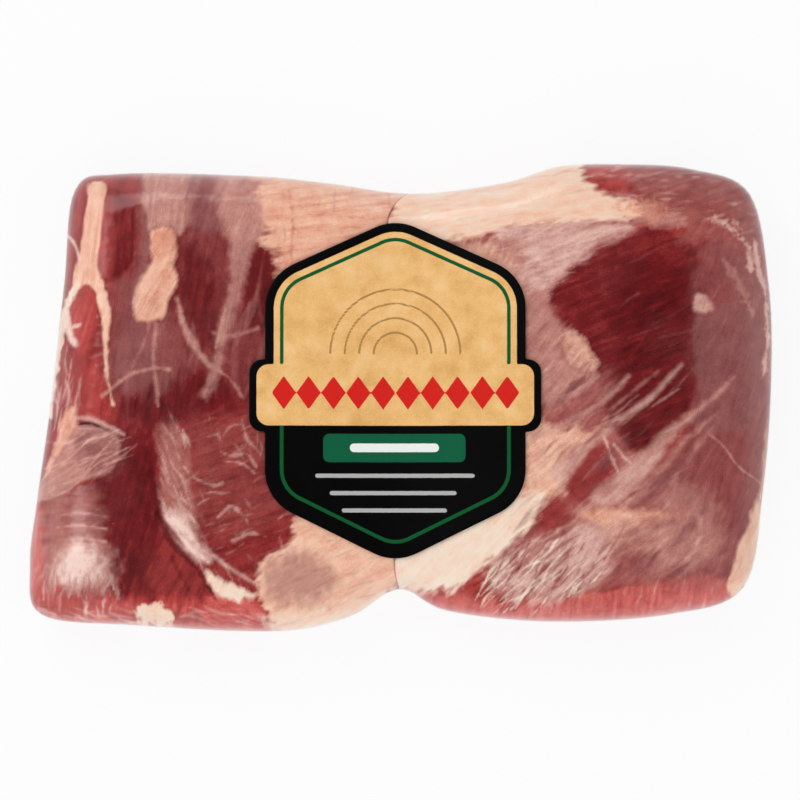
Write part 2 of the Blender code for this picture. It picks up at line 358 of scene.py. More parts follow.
def left_rack_tissues(meat):
    """Lays the left rack: back fat along the seam, a lean eye under silverskin, cap muscles outside."""
    # Lean, by how dark each muscle is
    middle = [(-112, 84), (-72, 76), (-54, 62), (-54, 16), (-70, -4), (-118, -8), (-121, 10), (-114, 44)]
    eye = [(-92, -12), (-60, -4), (-46, -10), (-44, -52), (-58, -74), (-80, -68), (-92, -46)]
    oval = [
        (-124, 87), (-117, 85.5), (-112, 80), (-110, 70), (-111, 58), (-116, 50), (-122, 47.5),
        (-126.5, 51), (-127, 62), (-125, 74),
    ]
    cap = [
        (-128, -18), (-106, -14), (-101, -34), (-99, -50), (-104, -66), (-108, -82), (-120, -84),
        (-127, -56)
    ]
    wedge = [(-106, -52), (-98, -56), (-88, -68), (-78, -82), (-96, -90), (-110, -82), (-110, -64)]
    corner_muscle = [(-140, 92), (-131, 91), (-130, 78), (-133.5, 62), (-137, 50), (-143, 46), (-144, 64)]
    bright = [
        (-132, 46), (-127.5, 44), (-127, 34), (-129, 24), (-133, 16), (-137, 24), (-139, 36), (-136, 43)
    ]
    meat.patch("lean", 0.66, middle, 7, 3, angle=78)
    meat.patch("skin", 0.85, middle, 9, 3, 0.3, angle=78)
    meat.patch(
        "lean", 0.85, [(-90, 62), (-80, 56), (-77, 34), (-82, 20), (-91, 32), (-93, 50)], 5, 2, 0.9,
        angle=80
    )
    meat.patch("lean", 0.86, [(-64, 64), (-53, 58), (-52, 34), (-60, 26), (-66, 40)], 3, 1.5, 0.9, angle=75)
    meat.patch(
        "lean", 0.82, [(-112, 8), (-98, 9), (-74, 8), (-62, -6), (-80, -16), (-112, -10)], 5, 3, angle=85
    )
    meat.patch("lean", 0.62, eye, 6, 2, angle=18)
    meat.patch("lean", 0.56, wedge, 3, 1.5, angle=62)
    meat.patch("lean", 0.82, cap, 6, 2, angle=75)
    meat.patch("lean", 0.74, oval, 1.0, 0.4, angle=88)
    meat.patch("tone", 0.3, [(-127, 84), (-121, 84), (-120, 66), (-122, 50), (-128, 54)], 3.5, 0.6, 0.8)
    meat.patch("tone", 0.5, [(-118, 98), (-106, 98), (-108, 82), (-118, 87)], 2, 0.6, 0.9)
    meat.patch("lean", 0.3, bright, 1.4, 0.6, angle=72)
    meat.patch("lean", 0.48, corner_muscle, 1.2, 0.6, angle=80)
    meat.patch(
        "lean", 0.4, [(-137, 14), (-126, 14), (-121, 2), (-119, -10), (-132, -13), (-142, -8)], 3, 1.5,
        angle=80
    )
    meat.patch(
        "lean", 0.14, [(-160, -46), (-151, -44), (-148.5, -62), (-150, -80), (-158, -94)], 2.5, 1.6,
        angle=85
    )
    meat.patch(
        "lean", 0.22, [(-156, -80), (-130, -84), (-106, -84), (-84, -86), (-106, -100), (-156, -100)], 3, 2,
        angle=82
    )
    meat.patch(
        "lean", 0.14, [(-77, -82), (-62, -83), (-57, -88), (-47, -99), (-72, -100), (-84, -90)], 2, 1.4,
        angle=-30
    )
    meat.patch(
        "lean", 0.08, [(-158, -91), (-110, -93), (-60, -95), (-48, -99), (-110, -106), (-158, -98)], 1.5, 1,
        0.7
    )
    # Silverskin and the film's cling over it, with a painted sheen on the low corner's mound
    meat.patch(
        "skin", 0.72, [(-110, 100), (-104, 98), (-104, 60), (-107, 48), (-112, 46), (-108, 66)], 2.5, 1, 0.6
    )
    meat.patch(
        "skin", 0.36, [(-105.5, 98), (-105.5, 70), (-96, 66), (-88, 72), (-84, 98)], 1.8, 1, 0.8, angle=85
    )
    meat.patch("skin", 0.78, [(-88, 96), (-88, 72), (-75, 70), (-72, 96)], 2.5, 1, 0.75, angle=75)
    meat.patch("skin", 0.38, [(-76, 96), (-75, 70), (-58, 66), (-56, 96)], 4, 1.5, 0.8, angle=70)
    meat.patch("skin", 0.62, [(-110, 30), (-96, 30), (-92, 10), (-104, 2), (-118, 8)], 6, 3, 0.35, angle=80)
    meat.patch(
        "skin", 0.8, [(-121, 46), (-112, 48), (-104, 30), (-103, 8), (-118, 4), (-120, 28)], 4, 2, 0.5,
        angle=82
    )
    flap = [
        (-139, -14), (-132, -12.5), (-124, -14), (-117, -17), (-119, -30), (-128, -34), (-135, -37),
        (-141, -41), (-155, -44), (-152, -38), (-146, -28), (-142, -18),
    ]
    meat.patch("skin", 0.4, flap, 1.0, 0.4, 0.85, 0.3, angle=26)
    meat.patch(
        "skin", 0.9, [(-133, -15), (-118, -17), (-118, -29), (-128, -33), (-134, -27)], 5, 1, 0.6, angle=26
    )
    meat.patch(
        "skin", 0.6, [(-148, -42), (-128, -38), (-125, -50), (-125, -66), (-148, -68)], 5, 2, 0.6, angle=4
    )
    # A pale patch with a near-white one inside it on the low corner's mound: a painted sheen of the lamps on
    # the film
    meat.patch(
        "skin", 0.28, [(-147, -70), (-140, -61), (-128, -60), (-121, -68), (-122, -78), (-144, -80)], 6, 2,
        0.75, 0.4
    )
    meat.patch(
        "skin", 0.0, [(-142, -71), (-135, -63), (-127, -65), (-126, -74), (-135, -78)], 4.5, 2, 0.98, 0.2
    )
    meat.patch(
        "skin", 0.5, [(-99, -14), (-91, -16), (-88, -40), (-86, -52), (-97, -52), (-100, -36)], 4, 2, 0.55,
        angle=-75
    )
    meat.patch(
        "skin", 0.15, [(-98, -47), (-88, -49), (-84, -60), (-79, -68), (-88, -66), (-95, -58)], 2.5, 1.5,
        0.7, angle=-55
    )
    meat.patch(
        "skin", 0.35, [(-90, -16), (-60, -8), (-48, -14), (-48, -40), (-62, -56), (-84, -50)], 8, 3, 0.08,
        angle=18
    )
    # Fat between the muscles
    top_fat = [(-60, 97), (-60, 76), (-54, 60), (-46, 44), (-5, 60), (8, 92), (-30, 96)]
    strip = [
        (-130.5, 89), (-123, 88), (-123.5, 78), (-125, 66), (-126.5, 55), (-124, 46), (-126, 43),
        (-131, 47), (-136, 44), (-137, 50), (-134.5, 60), (-131.5, 76),
    ]
    block = [
        (-104, 69), (-94.5, 69), (-93.5, 60), (-94, 54), (-93, 48), (-97, 38), (-99.5, 31.5), (-110, 32),
        (-111.5, 40), (-107, 51), (-103.5, 57),
    ]
    low_fat = [
        (-43, -50), (-46, -60), (-57, -69), (-60, -80), (-57, -87), (-49, -97), (-30, -97), (-3, -80),
        (0, -60), (-20, -48),
    ]
    meat.patch("fat", 0.52, top_fat, 4, 2.5, 0.94, 0.3, angle=8)
    meat.patch("fat", 0.5, strip, 1.0, 0.5, 0.97, 0.3, angle=82)
    meat.patch("fat", 0.5, block, 1.4, 0.6, 0.92, 0.3, angle=60)
    meat.patch("fat", 0.8, [(-103, 69), (-95, 69), (-94.5, 60), (-103, 57.5)], 2.0, 0.8, 0.5)
    meat.patch(
        "fat", 0.6, [(-140, -6), (-135, -5), (-135.5, -14), (-141, -22), (-149, -34), (-145, -22)], 1.6,
        0.6, 0.9
    )
    meat.patch(
        "fat", 0.15, [(-109, -87.5), (-100, -86.5), (-95, -90), (-98, -95), (-108, -94)], 1.4, 1.8, 0.95
    )
    meat.patch(
        "fat", 0.12, [(-81, -72), (-74, -76), (-61, -82), (-67, -85), (-75, -84), (-80, -78)], 1.8, 1.0,
        0.95, 0.3
    )
    meat.patch("fat", 0.42, low_fat, 1.8, 1.4, 0.97, 0.4, angle=30)
    meat.patch("skin", 0.6, [(-58, -73), (-44, -64), (-28, -74), (-34, -86), (-52, -85)], 5, 2, 0.7)
    meat.patch("fat", 0.1, [(-56, -92), (-30, -88), (-8, -82), (-30, -98), (-50, -98)], 4, 2, 0.7)
    # Seams of fat and connective tissue, and some near-white streaks that are painted glints of the film's
    # creases
    left_branch = [(-135, 47), (-140, 38), (-142, 29), (-144, 18), (-146, 4), (-147, -8)]
    right_branch = [(-126, 47), (-122.8, 34), (-122.8, 20), (-122, 8), (-119.5, -4)]
    meat.streak("fat", 0.1, left_branch, (3, 3.4, 4.4, 3, 2), 1.0, 0.6, 0.85, 0.2)
    meat.streak("fat", 0.4, right_branch, (4.4, 4.4, 1.8, 1.4, 0.8), 1.0, 0.4, 0.95, 0.2)
    meat.streak("skin", 0.1, [(-143, 70), (-139, 67), (-136, 63), (-134, 57)], 1.2, 0.5, 0.2, 0.85)
    meat.streak("skin", 0.0, [(-140, 34), (-139, 28), (-136, 22)], 3.0, 1.0, 0.6, 0.9, 0.2)
    meat.streak("skin", 0.1, [(-143, 26), (-139, 28), (-134, 30)], 1.2, 0.6, 0.4, 0.8)
    band_e = [(-64, 76), (-67, 60), (-69, 45), (-73.5, 28), (-76.5, 12), (-82, 0)]
    meat.streak("skin", 0.45, band_e, (15, 9, 5, 4, 3, 1.5), 2.4, 0.8, 0.8)
    meat.streak(
        "skin", 0.3, [(-93, 40), (-89, 25.5), (-82, 15.5), (-75, 10)], (1.4, 3, 2.4, 1.2), 1.2, 0.5, 0.7
    )
    meat.streak("fat", 0.5, [(-73, 36), (-75, 28), (-77, 20)], 1.8, 1.2, 0.4, 0.6)
    meat.streak(
        "skin", 0.3, [(-124, 0), (-114, 8), (-104, 11.5), (-96, 11)], (1.2, 1.6, 1.0), 0.8, 0.4, 0.6
    )
    meat.streak("skin", 0.45, [(-104, 31), (-107, 22), (-112, 12)], 1.0, 0.8, 0.4, 0.5)
    meat.streak(
        "skin", 0.35, [(-102, 30), (-103, 16), (-101.5, 4), (-101, -4)], (1.6, 1.4, 1.0), 0.9, 0.4, 0.6
    )
    meat.streak("skin", 0.3, [(-80, 12), (-72, 8), (-66, 0)], 1.0, 0.7, 0.4, 0.5)
    meat.streak("skin", 0.4, [(-78, 26), (-70, 25), (-60, 28)], 1.4, 0.9, 0.4, 0.5)
    for row in (-49, -54, -59.5):
        meat.streak(
            "skin", 0.25, [(-143, row - 0.5), (-133, row + 0.5), (-122, row - 1)], (0.3, 1.1, 0.3), 0.7,
            0.4, 0.6
        )
    # Two near-white raised streaks along the seam: painted glints of the film's creases
    meat.streak(
        "skin", 0.0, [(-98, -50), (-93, -53), (-88, -57), (-84, -62)], (1.5, 4, 3, 1.5), 1.2, 0.8, 0.9, 0.2
    )
    meat.streak(
        "skin", 0.0, [(-96, -52), (-92, -58), (-86, -64), (-80, -69)], (1.2, 1.8, 1.2), 0.8, 0.4, 0.85, 0.1
    )
    meat.streak(
        "skin", 0.25, [(-134, -9), (-128, -10), (-121, -13), (-115, -16)], (1.0, 2.0, 1.0), 0.9, 0.3, 0.75,
        0.4
    )
    meat.streak("skin", 0.15, [(-78, -66), (-70, -72), (-60, -78)], 1.2, 0.8, 0.4, 0.5)
    # Thin pale streaks on the eye: painted glints of the film's crinkles
    for line in (
        [(-75, -23), (-70, -25), (-64, -24), (-60, -30)], [(-74, -27), (-66, -28), (-61, -32)],
        [(-76, -50), (-71, -46), (-66, -49), (-63, -54)], [(-66, -10), (-64, -18), (-58, -24)],
        [(-86, -34), (-79, -37), (-74, -36)], [(-70, -60), (-62, -57), (-54, -59)],
    ):
        meat.streak("skin", 0.2, line, (0.3, 1.1, 0.3), 0.6, 0.6, 0.45)
    # Fine threads of silverskin, lean and fat
    glow_rim = [(-146, -76), (-120, -76), (-116, -88), (-134, -90), (-150, -86)]
    silver = [(-99, -12), (-89, -14), (-86, -48), (-74, -70), (-62, -82), (-82, -72), (-98, -52)]
    near_rim = [(-152, -88), (-120, -89), (-90, -88), (-60, -88), (-52, -97), (-110, -95), (-150, -93)]
    outer_edge = [(-145, 34), (-138, 16), (-134, -6), (-142, -10), (-149, -4), (-146, 20)]
    meat.threads("skin", 0.1, outer_edge, 80, 26, 14, 0.9, 0.6)
    meat.threads("skin", 0.2, eye, 20, 36, 7, 0.7, 0.45)
    meat.threads("skin", 0.2, eye, 110, 20, 6, 0.7, 0.45)
    meat.threads("tone", 0.74, eye, 20, 60, 9, 1.3, 0.5)
    meat.threads("tone", 0.28, eye, 30, 40, 9, 1.6, 0.5)
    meat.threads("skin", 0.0, flap, 28, 26, 18, 0.8, 0.55)
    meat.threads("tone", 0.8, flap, 24, 12, 8, 1.0, 0.4)
    meat.threads("lean", 0.3, glow_rim, 84, 46, 7, 0.9, 0.75)
    meat.threads("skin", 0.05, glow_rim, 84, 30, 6, 0.8, 0.6)
    meat.threads("skin", 0.05, silver, -66, 60, 8, 0.8, 0.6)
    meat.threads("tone", 0.8, silver, -60, 30, 8, 1.0, 0.5)
    meat.threads("skin", 0.6, middle, 82, 26, 24, 3.0, 0.35)
    meat.threads("tone", 0.85, middle, 80, 36, 18, 2.0, 0.4)
    meat.threads("fat", 0.85, top_fat, 4, 70, 10, 0.8, 0.4)
    meat.threads("fat", 0.25, top_fat, 4, 40, 8, 0.8, 0.4)
    meat.threads("skin", 0.75, top_fat, 80, 16, 9, 0.8, 0.35)
    meat.threads("fat", 0.8, low_fat, 35, 40, 7, 0.8, 0.35)
    meat.threads("skin", 0.75, low_fat, 15, 24, 9, 0.8, 0.4)
    meat.threads("fat", 0.0, low_fat, 35, 30, 7, 0.8, 0.4)
    meat.threads("skin", 0.1, near_rim, -12, 40, 10, 0.9, 0.5)
    meat.threads("tone", 0.6, near_rim, -12, 40, 8, 1.1, 0.5)
    meat.threads("tone", 0.75, wedge, 62, 26, 9, 1.0, 0.5)
    # Creases between muscles, each dented a little and painted dark along it: painted shade in the creases
    seam = [(-107, -21), (-103, -34), (-101, -48), (-96, -59), (-87, -69), (-81, -77), (-77, -84)]
    meat.streak(
        "tone", 1.0, [(-134, -12), (-128, -11.6), (-122, -14.5), (-116, -18)], (1.0, 2.0, 1.0), 0.8, 0.3,
        0.95, -0.7
    )
    meat.streak("lean", 0.95, seam, (0.6, 1.4, 2.2, 2.4, 1.6, 1.0, 0.6), 1.1, 0.5, 0.85, -0.8)
    meat.streak("lean", 0.85, [(-100, -50), (-94, -57), (-90, -62)], (0.8, 1.4, 0.8), 0.8, 0.4, 0.7, -0.3)
    meat.streak("lean", 0.9, [(-108, -60), (-107, -66), (-106, -72)], 1.2, 0.9, 0.3, 0.6, -0.4)
    meat.streak("lean", 0.85, [(-95, -66), (-93, -72), (-88, -80)], 1.2, 0.9, 0.3, 0.6, -0.4)
    meat.streak(
        "fat", 0.95, [(-47, 86), (-45, 72), (-46, 60), (-44, 50)], (0.6, 1.2, 0.6), 0.8, 0.6, 0.5, -0.2
    )


def right_rack_tissues(meat):
    """Lays the right rack: back fat along the seam, a dark lean eye far out, rib marks at the near end."""
    # Lean, by how dark each muscle is
    eye = [
        (60.5, 41), (68, 50), (78, 58.5), (89, 64.5), (97, 68.5), (104, 70), (113, 67), (122, 60),
        (122.5, 30),
        (122, 4), (112, -14), (96, -24), (86, -8), (81, 8), (78, 15), (73.5, 23.5), (65.5, 31),
    ]
    side = [(122.5, 62), (150, 52), (158, 10), (154, -50), (140, -74), (110, -60), (116, -20), (122.5, 10)]
    near_lean = [(56, 0), (84, 8), (100, -20), (116, -50), (136, -70), (80, -82), (40, -80), (52, -40)]
    far_lean = [
        (73, 99), (76, 92.5), (82, 87), (92, 83), (103, 79.5), (124, 74), (148, 66), (158, 92), (120, 104)
    ]
    cut_rim = [
        (50, -87), (68, -83.5), (86, -80.5), (108, -76.5), (128, -74), (136, -78), (140, -84), (120, -98),
        (60, -100),
    ]
    meat.patch(
        "lean", 0.45, [(110, 100), (156, 92), (158, 40), (122.5, 40), (112, 68), (84, 84)], 4, 2, angle=60
    )
    meat.patch("lean", 0.5, near_lean, 5, 2, angle=38)
    meat.patch("lean", 0.55, side, 2, 0.6, angle=80)
    meat.patch("lean", 0.74, eye, 1.0, 0.5, 1.0, 0.2, angle=22)
    meat.patch(
        "lean", 0.9, [(92, 54), (121, 58), (121.5, 30), (118, 6), (104, -14), (94, 0), (90, 28)], 7, 2, 0.9,
        angle=22
    )
    meat.patch("tone", 0.5, [(90, 63), (104, 68.5), (118, 64), (116, 54), (100, 58)], 4, 1.5, 0.4)
    meat.patch("lean", 0.56, far_lean, 2.5, 1.6, angle=20)
    meat.patch("tone", 0.26, [(74, 98), (77, 92), (90, 85), (98, 90), (90, 99)], 4, 1.5, 0.8)
    meat.patch("lean", 0.14, cut_rim, 1.0, 0.7, angle=86)
    meat.patch(
        "lean", 0.12, [(-1, -80), (14, -82), (32, -83), (60, -86), (58, -98), (20, -97), (0, -90)], 1.6,
        1.2, angle=80
    )
    meat.patch("lean", 0.3, [(14, -78), (30, -72), (48, -80), (40, -86), (18, -84)], 3, 2, 0.6, angle=30)
    # Silverskin and film haze
    membrane = [(40, 72), (60, 73), (86, 73), (96, 70), (84, 64), (70, 53), (60, 44), (44, 44)]
    lower_membrane = [(50, 44), (60, 40), (66, 30), (78, 14), (80, 6), (64, -4), (50, 0)]
    haze = [(124, 60), (150, 50), (152, -40), (142, -74), (96, -74), (108, -34), (122, -8), (123, 20)]
    meat.patch("skin", 0.25, membrane, 2.5, 1.2, 0.92, angle=20)
    meat.patch("skin", 0.45, lower_membrane, 3, 2, 0.85, angle=50)
    meat.patch(
        "skin", 0.6, [(92, 92), (120, 90), (148, 82), (150, 62), (124, 62), (112, 72)], 5, 3, 0.4, angle=20
    )
    meat.patch("skin", 0.3, [(88, 82), (104, 80), (118, 72), (108, 71), (94, 74)], 3, 2, 0.6, angle=10)
    meat.patch(
        "skin", 0.86, [(122.5, 35), (148, 34), (149, 2), (142, -14), (120, -12), (122.5, 6)], 1.4, 0.4,
        0.65, angle=80
    )
    meat.patch(
        "skin", 0.6, [(132, 62), (150, 58), (156, 30), (150, -50), (144, -10), (140, 34)], 5, 2, 0.45,
        angle=80
    )
    meat.patch("skin", 0.78, haze, 7, 2, 0.55, angle=70)
    meat.patch("skin", 0.55, near_lean, 8, 3, 0.42, angle=38)
    meat.patch(
        "skin", 0.3, [(110, -40), (126, -40), (136, -60), (126, -70), (104, -68)], 6, 2, 0.4, angle=60
    )
    meat.patch(
        "skin", 0.15, [(34, -78), (50, -62), (72, -54), (86, -62), (80, -79), (56, -84)], 4, 2.5, 0.75,
        angle=40
    )
    meat.patch("skin", 0.2, [(121.5, 35), (129.5, 36), (126, 42), (122, 42)], 1.2, 0.4, 0.75)
    meat.patch(
        "skin", 0.3, [(74, -48), (86, -36), (96, -27), (106, -22), (104, -30), (90, -44)], 4, 1.5, 0.85,
        angle=40
    )
    meat.patch("skin", 0.25, [(72, -52), (104, -50), (110, -55), (98, -62), (78, -64)], 4, 2, 0.7, angle=30)
    meat.patch("skin", 0.6, [(-2, 66), (30, 67), (48, 64), (48, 52), (20, 56)], 4, 2, 0.6, angle=10)
    # Fat
    far_fat = [
        (-6, 66), (0, 90), (12, 94), (48, 98), (73, 100), (75.5, 92), (82, 86), (92, 82), (100, 78.5),
        (92, 73), (76, 71.5), (48, 70), (14, 64),
    ]
    beside_label = [
        (46, 6), (54, -8), (66, -12), (76, -16), (70, -28), (68, -40), (56, -50), (40, -56), (30, -10)
    ]
    near_fat = [(-3, -68), (0, -80.5), (20, -80), (34, -72), (46, -62), (58, -52), (56, -40), (20, -50)]
    meat.patch("fat", 0.26, far_fat, 2.5, 1.6, 0.95, 0.3, angle=10)
    meat.patch(
        "fat", 0.4, [(46, 60), (50, 30), (48, 0), (50, -20), (44, -40), (20, 0), (20, 60)], 4, 2, 0.7,
        angle=70
    )
    meat.patch("fat", 0.45, beside_label, 3.5, 2, 0.85, angle=40)
    meat.patch("fat", 0.08, near_fat, 2.5, 1.8, 0.97, 0.5, angle=45)
    meat.patch("fat", 0.75, [(92, 80), (100, 81), (110, 77), (114, 72), (104, 72), (94, 75)], 2.5, 2.5, 0.6)
    meat.patch("fat", 0.4, [(67, 26), (74, 25), (81, 14), (77, 10), (68, 16)], 2.0, 1.0, 0.65, 0.2)
    meat.patch(
        "fat", 0.4,
        [(150, -40), (145, -50), (140, -62), (136.5, -73), (135, -80), (142, -82), (149, -68), (152, -50)],
        1.6, 0.8, 0.9, 0.2
    )
    meat.patch("fat", 0.5, [(150, -46), (152, -44), (154, -26), (153, -10), (151, -24)], 1.5, 0.8, 0.6)
    # Lean that shows red between the rib marks
    meat.patch(
        "lean", 0.84, [(88, 2), (104, 12), (121, 8), (118, -6), (109, -17), (99, -25), (90, -15), (84, -7)],
        2.5, 1, 0.9
    )
    meat.patch(
        "lean", 0.56, [(69, -24), (80, -20), (88, -26), (90, -36), (80, -44), (70, -42)], 3, 1, 0.85,
        angle=40
    )
    meat.patch("lean", 0.6, [(57, -45), (66, -42), (70, -50), (62, -58), (54, -54)], 3.5, 2, 0.85, angle=40)
    # Rib marks: pale lines of bone skin that cross the lean on a slant
    meat.streak(
        "skin", 0.4, [(55, -17), (66, -12), (76, -7), (86, 0), (94, 8)], (2, 2.8, 1.0), 1.3, 0.4, 0.65
    )
    meat.streak(
        "skin", 0.3, [(66, -32), (79, -18.5), (94.5, -7), (104, 0), (116, 13)], (8, 4, 2.2, 1.8, 0.8), 1.4,
        0.4, 0.7
    )
    meat.streak(
        "skin", 0.35, [(82, -43), (96, -32), (110, -17), (120, -8), (130, 0), (138, 8)], (9, 8, 3.4, 2, 1),
        1.8, 0.5, 0.7
    )
    meat.streak("skin", 0.4, [(93, -46), (107, -32), (118, -18), (130, -8)], (4, 3.4, 2, 1), 1.8, 0.5, 0.55)
    meat.streak("skin", 0.4, [(112, -36), (122, -22), (132, -10)], (2, 2.4, 1), 2.0, 0.5, 0.4)
    meat.streak("skin", 0.45, [(86, -6), (96, 2), (106, 10)], (0.8, 1.4, 0.6), 1.0, 0.4, 0.45)
    meat.streak("skin", 0.1, [(84, -17), (86.5, -24), (89.5, -31)], 1.1, 0.6, 0.4, 0.8)
    meat.streak("skin", 0.1, [(88, -20), (92, -25), (95, -28)], 0.9, 0.6, 0.3, 0.6)
    meat.streak("fat", 0.5, [(75, -18), (80, -15), (85, -12)], 3.0, 1.5, 0.4, 0.6)
    for line in (
        [(96, -46), (106, -38), (114, -28)], [(88, -66), (98, -58), (112, -52)],
        [(110, -64), (120, -54), (128, -44)]
    ):
        meat.streak("tone", 0.8, line, (1.5, 4.5, 1.5), 2.0, 0.5, 0.5, -0.2)
        meat.streak("skin", 0.8, line, (1.5, 4.5, 1.5), 2.0, 0.5, 0.5)
    meat.streak("skin", 0.3, [(128, -16), (134, -21), (140, -29), (150, -36)], 0.7, 0.5, 0.2, 0.7)
    meat.streak("skin", 0.35, [(122, -47), (124, -54), (123, -62)], 1.4, 1.4, 0.6, 0.5)
    # Pale specks along the outer side
    meat.streak(
        "skin", 0.15, [(131, 73), (136, 71), (141, 67), (144, 60), (145, 52)], (1, 2.6, 2.2, 1.2), 1.2, 1.6,
        0.8
    )
    meat.streak(
        "skin", 0.15, [(147, 66), (149, 54), (151.5, 46), (152.5, 36), (153, 24), (151, 8)], (1.2, 2, 1.4),
        1.0, 0.8, 0.8
    )
    meat.streak("skin", 0.4, [(134, 56), (140, 48), (146, 34)], (2, 3, 2), 1.6, 1.6, 0.5)
    # Fine threads of silverskin, lean and fat
    ribs = [(56, -10), (90, 8), (130, 6), (122, -30), (96, -48), (66, -46)]
    streaky = [(34, -78), (44, -66), (62, -60), (76, -62), (82, -76), (60, -85), (36, -86)]
    meat.threads("tone", 0.5, eye, 24, 80, 13, 0.8, 0.45)
    meat.threads("tone", 1.0, eye, 24, 60, 11, 0.9, 0.45)
    meat.threads("skin", 0.5, eye, 26, 9, 16, 0.6, 0.25)
    meat.threads("skin", 0.0, membrane, 12, 30, 16, 0.7, 0.5)
    meat.threads("skin", 0.6, membrane, 12, 24, 12, 0.8, 0.4)
    meat.threads("skin", 0.1, lower_membrane, 35, 30, 9, 0.8, 0.4)
    meat.threads("skin", 0.8, lower_membrane, 50, 30, 8, 0.9, 0.5)
    meat.threads("fat", 0.6, far_fat, 4, 50, 14, 0.7, 0.35)
    meat.threads("fat", 0.0, far_fat, 2, 40, 14, 0.7, 0.6)
    meat.threads("skin", 0.7, far_fat, 8, 12, 14, 0.7, 0.3)
    meat.threads("fat", 0.6, near_fat, 42, 40, 8, 0.8, 0.35)
    meat.threads("lean", 0.2, beside_label, 42, 34, 9, 1.0, 0.5)
    meat.threads("fat", 0.2, beside_label, 42, 24, 10, 1.0, 0.5)
    meat.threads("skin", 0.2, ribs, 39, 30, 16, 0.8, 0.4)
    meat.threads("tone", 0.85, ribs, 39, 34, 12, 1.2, 0.4)
    meat.threads("lean", 0.68, streaky, 50, 90, 13, 0.9, 0.9, -0.1)
    meat.threads("fat", 0.05, streaky, 50, 110, 13, 0.7, 1.0, 0.1)
    meat.threads("skin", 0.35, haze, 62, 30, 14, 0.7, 0.3)
    meat.threads("skin", 0.95, near_lean, 42, 50, 14, 2.4, 0.6)
    meat.threads("skin", 0.2, near_lean, 42, 40, 12, 1.2, 0.4)
    meat.threads("skin", 0.25, far_lean, 12, 60, 6, 1.2, 0.5)
    meat.threads("tone", 0.8, far_lean, 20, 50, 7, 1.2, 0.55)
    meat.threads("skin", 0.1, cut_rim, 86, 40, 5, 0.8, 0.4)
    meat.threads("tone", 0.5, cut_rim, 86, 50, 5, 0.8, 0.5)
    # A strip of fat that fades out under the haze, with a paler one below it
    meat.patch("fat", 0.45, [(84, -52), (102, -51), (104, -57), (92, -61), (84, -58)], 3, 1.5, 0.5)
    meat.patch(
        "fat", 0.55, [(75, -47), (88, -46), (106, -48), (104, -51), (92, -52), (76, -52.5)], 2.6, 0.8, 0.8
    )
    meat.patch("fat", 0.5, [(104, -47), (122, -48.5), (114, -51), (104, -51)], 2.5, 0.8, 0.5)


def make_rack(name, right, far, left, near, tissues, angle, rims):
    """One rack: the slab inside these four sides, rounded down along the seam, with its tissues laid on."""
    s = rim_shares(RACK_CELLS[0], 150.0, rims)
    t = rim_shares(RACK_CELLS[1], 185.0, (END_EDGE, END_EDGE))
    plan = fill_outline(right, far, left, near, s, t)
    edge = nearest_on_line(plan, meat_loop, closed=True)[0]
    seam = nearest_on_line(plan, seam_line)[0]
    crease = 1 - SEAM_DEPTH * (1 - quarter_round(seam, SEAM_EDGE))
    crease[seam < 0.001] = 0
    waist = WAIST * slab_height(plan)
    meat = Meat(plan, angle)
    tissues(meat)
    wall = quarter_round(edge, WALL_ROUND)
    front = front_height(plan, edge) - RACK_DEPTH * wall
    front = waist + (front - waist) * crease + (meat.relief + 0.12 * meat.grain) * wall * (crease > 0)
    back = back_height(plan, edge) + 0.5
    back = waist + (back - waist) * crease
    item, inner = closed_skin(name, np.dstack([plan, front]), np.dstack([plan, back]))
    under = Meat(plan[::2, ::2] * (1, -1), angle)
    tissues(under)
    deep = smooth_step(*UNDERSIDE_FADE, np.minimum(edge, seam))[::2, ::2]
    for layer in MEAT_LAYERS:
        top = getattr(meat, layer)
        below = top[::2, ::2] * (1 - deep) + getattr(under, layer) * deep
        values = np.concatenate([top.ravel(), below[inner]])
        attribute = item.data.attributes.new(layer, "FLOAT", "POINT")
        attribute.data.foreach_set("value", values.astype(np.float32))
    return item


def linear(code):
    """sRGB hex colour to linear RGBA."""
    channels = [int(code[k : k + 2], 16) / 255 for k in (1, 3, 5)]
    return (*[c / 12.92 if c <= 0.04045 else ((c + 0.055) / 1.055) ** 2.4 for c in channels], 1.0)


def add(tree, kind, sockets=None, stops=None, **settings):
    """Adds a node with its settings. A sockets entry is a value, or another node's output to link from."""
    item = tree.nodes.new("ShaderNode" + kind)
    for name, value in settings.items():
        setattr(item, name, value)
    for name, value in (sockets or {}).items():
        if isinstance(value, bpy.types.NodeSocket):
            tree.links.new(value, item.inputs[name])
        else:
            item.inputs[name].default_value = value
    for index, (place, code) in enumerate(stops or []):
        elements = item.color_ramp.elements
        element = elements[index] if index < 2 else elements.new(place)
        element.position = place
        element.color = linear(code)
    return item


LEAN = [(0.0, "#E4726A"), (0.25, "#C44A44"), (0.5, "#A03432"), (0.75, "#7C181C"), (1.0, "#56090E")]
FAT = [(0.0, "#FFEBD8"), (0.35, "#FFD0B5"), (0.65, "#EBA58A"), (1.0, "#C47764")]
SKIN = [(0.0, "#FFDDD2"), (0.4, "#D49A8D"), (0.7, "#A56865"), (1.0, "#764447")]

